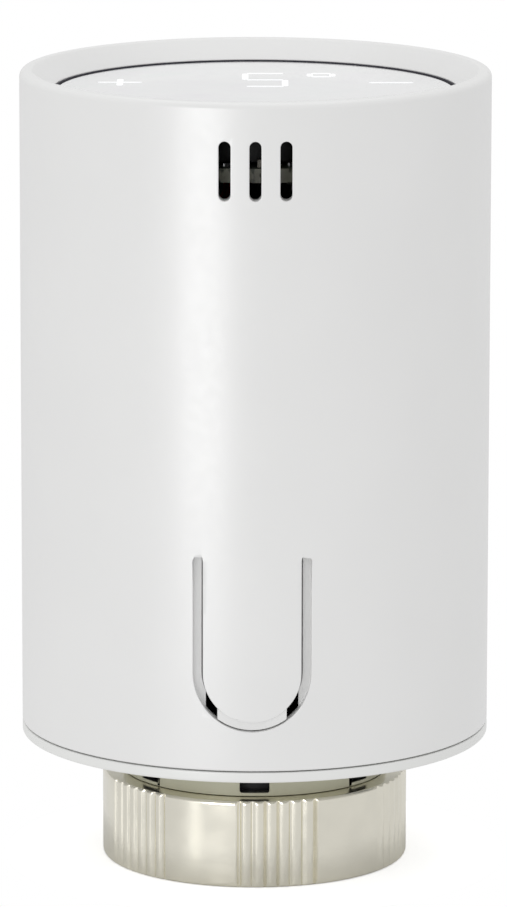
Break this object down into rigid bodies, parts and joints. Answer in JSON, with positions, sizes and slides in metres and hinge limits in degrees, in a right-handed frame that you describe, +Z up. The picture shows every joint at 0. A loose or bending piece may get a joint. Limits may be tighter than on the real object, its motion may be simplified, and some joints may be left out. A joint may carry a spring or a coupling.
{
  "type": "motorised radiator valve actuator head",
  "caption": "White cylindrical motorised head for a radiator valve, with a touch display on top, a lift-off sleeve, a gear-driven pusher and a knurled union nut.",
  "frame": {"origin": "centre of the union nut's lower face", "axes": "+Z up along the head's axis, from the nut to the display; -Y is the front, with the vents and the release tab; +X is to the right seen from the front"},
  "size_m": [0.054, 0.054, 0.0921],
  "materials": {
    "white_body": "smooth satin white moulding",
    "white_inner": "satin off-white moulding",
    "neck_grey": "satin light grey-white moulding",
    "display_lens": "glossy milky white",
    "gasket_black": "black foam rubber",
    "black_plastic": "matt black",
    "nickel": "warm nickel plate",
    "steel": "bright steel",
    "gear_plastic": "natural acetal",
    "brass": "bright brass",
    "cell_label": "printed sleeve, plain colour",
    "circuit_board": "grey board",
    "chip_black": "black moulded package",
    "lead_red": "red insulation",
    "lead_black": "black insulation"
  },
  "bodies": {
    "base": {"base_housing": "neck_grey", "nut_retainer": "black_plastic", "inner_frame": "white_inner", "gearbox_base": "black_plastic", "gearbox_cover": "black_plastic", "first_axle": "steel", "second_axle": "steel", "thrust_washer": "steel", "motor_can": "steel", "motor_end_cap": "black_plastic", "motor_terminal_left": "brass", "motor_terminal_right": "brass", "motor_lead_left": "lead_red", "motor_lead_right": "lead_black", "battery_left": "cell_label", "battery_right": "cell_label", "lower_contact_link": "nickel", "lower_contact_spring": "nickel", "upper_contact_left": "nickel", "upper_contact_right": "nickel", "upper_contact_spring": "nickel", "display_board": "circuit_board", "light_shield": "black_plastic", "digit_module": "white_inner", "plus_led": "white_inner", "minus_led": "white_inner", "plus_touch_spring": "nickel", "minus_touch_spring": "nickel", "icon_led": "white_inner", "thermistor": "chip_black", "radio_module": "steel", "controller_chip": "chip_black", "frame_screw_1": "steel", "gearbox_screw_1": "steel", "board_screw_1": "steel", "frame_screw_2": "steel", "gearbox_screw_2": "steel", "board_screw_2": "steel", "frame_screw_3": "steel", "gearbox_screw_3": "steel", "board_screw_3": "steel"},
    "nut": {"union_nut": "nickel"},
    "sleeve": {"outer_sleeve": "white_body", "display_lens": "display_lens", "lens_gasket": "gasket_black"},
    "tab": {"release_tab": "white_body"},
    "output": {"output_wheel": "gear_plastic"},
    "second": {"second_gear": "gear_plastic"},
    "first": {"first_gear": "gear_plastic"},
    "motor_rotor": {"motor_shaft": "steel", "motor_pinion": "brass"},
    "pusher": {"pusher": "gear_plastic"}
  },
  "joints": [
    {"name": "nut_spin", "type": "hinge", "parent": "base", "child": "nut", "pos_m": [0, 0, 0.005], "axis": [0, 0, 1], "continuous": true},
    {"name": "sleeve_lift", "type": "slide", "parent": "base", "child": "sleeve", "axis": [0, 0, 1], "range_m": [0, 0.075]},
    {"name": "release_tab_press", "type": "hinge", "parent": "sleeve", "child": "tab", "pos_m": [-0.0003, -0.026, 0.04045], "axis": [1, 0, 0], "range_deg": [0, 3.5], "stiffness_Nm_per_rad": 0.2},
    {"name": "output_wheel_spin", "type": "hinge", "parent": "base", "child": "output", "pos_m": [0, 0, 0.036], "axis": [0, 0, 1], "range_deg": [0, 1080]},
    {"name": "second_gear_spin", "type": "hinge", "parent": "base", "child": "second", "pos_m": [0.00233, -0.00947, 0.038], "axis": [0, 0, 1], "range_deg": [-2749.1, 0]},
    {"name": "first_gear_spin", "type": "hinge", "parent": "base", "child": "first", "pos_m": [-0.00704, -0.00675, 0.04], "axis": [0, 0, 1], "range_deg": [0, 6997.7]},
    {"name": "motor_spin", "type": "hinge", "parent": "base", "child": "motor_rotor", "pos_m": [0, -0.0135, 0.044], "axis": [0, 0, 1], "range_deg": [-17812.4, 0]},
    {"name": "pusher_slide", "type": "slide", "parent": "base", "child": "pusher", "axis": [0, 0, -1], "range_m": [0, 0.0045]}
  ],
  "couplings": [
    {"joint": "second_gear_spin", "follows": "output_wheel_spin", "ratio": -2.5455},
    {"joint": "first_gear_spin", "follows": "output_wheel_spin", "ratio": 6.4793},
    {"joint": "motor_spin", "follows": "output_wheel_spin", "ratio": -16.493},
    {"joint": "pusher_slide", "follows": "output_wheel_spin", "m_per_rad": 0.00023873}
  ]
}
